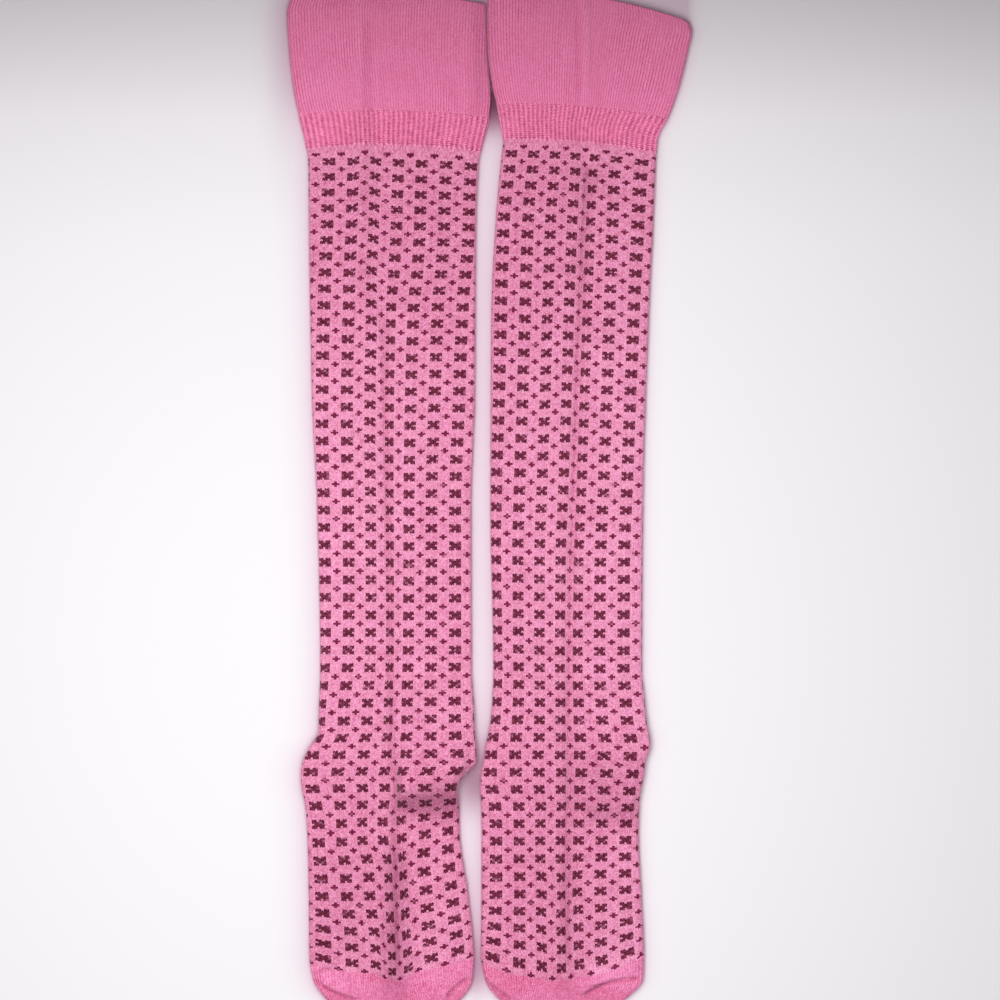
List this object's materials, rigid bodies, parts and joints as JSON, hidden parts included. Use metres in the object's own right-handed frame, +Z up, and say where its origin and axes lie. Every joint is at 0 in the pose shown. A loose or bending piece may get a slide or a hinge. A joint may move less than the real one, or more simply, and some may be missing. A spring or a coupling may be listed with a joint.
{
  "type": "pair of knee-high socks",
  "caption": "Pair of patterned knee-high socks laid flat side by side, instep up: flared welt, rib band, flower-and-cross leg, folded heel and plain toe.",
  "frame": {"origin": "on the surface that the socks lie on, below the middle of the pair's bounding box", "axes": "+Y along the socks from the toes to the cuffs, +X to the right seen from above with the cuffs at the top, +Z up out of the surface"},
  "size_m": [0.2223, 0.5633, 0.0086],
  "materials": {
    "plain_knit": "plain pink rib knit, matt and slightly fuzzy",
    "patterned_knit": "pink jersey knit with small maroon flowers and wine crosses, matt and slightly fuzzy"
  },
  "bodies": {
    "root": {"left_welt": "plain_knit", "left_rib_band": "plain_knit", "left_leg": "patterned_knit", "left_heel_pouch": "patterned_knit", "left_toe_cap": "plain_knit", "right_welt": "plain_knit", "right_rib_band": "plain_knit", "right_leg": "patterned_knit", "right_heel_pouch": "patterned_knit", "right_toe_cap": "plain_knit"}
  },
  "joints": []
}
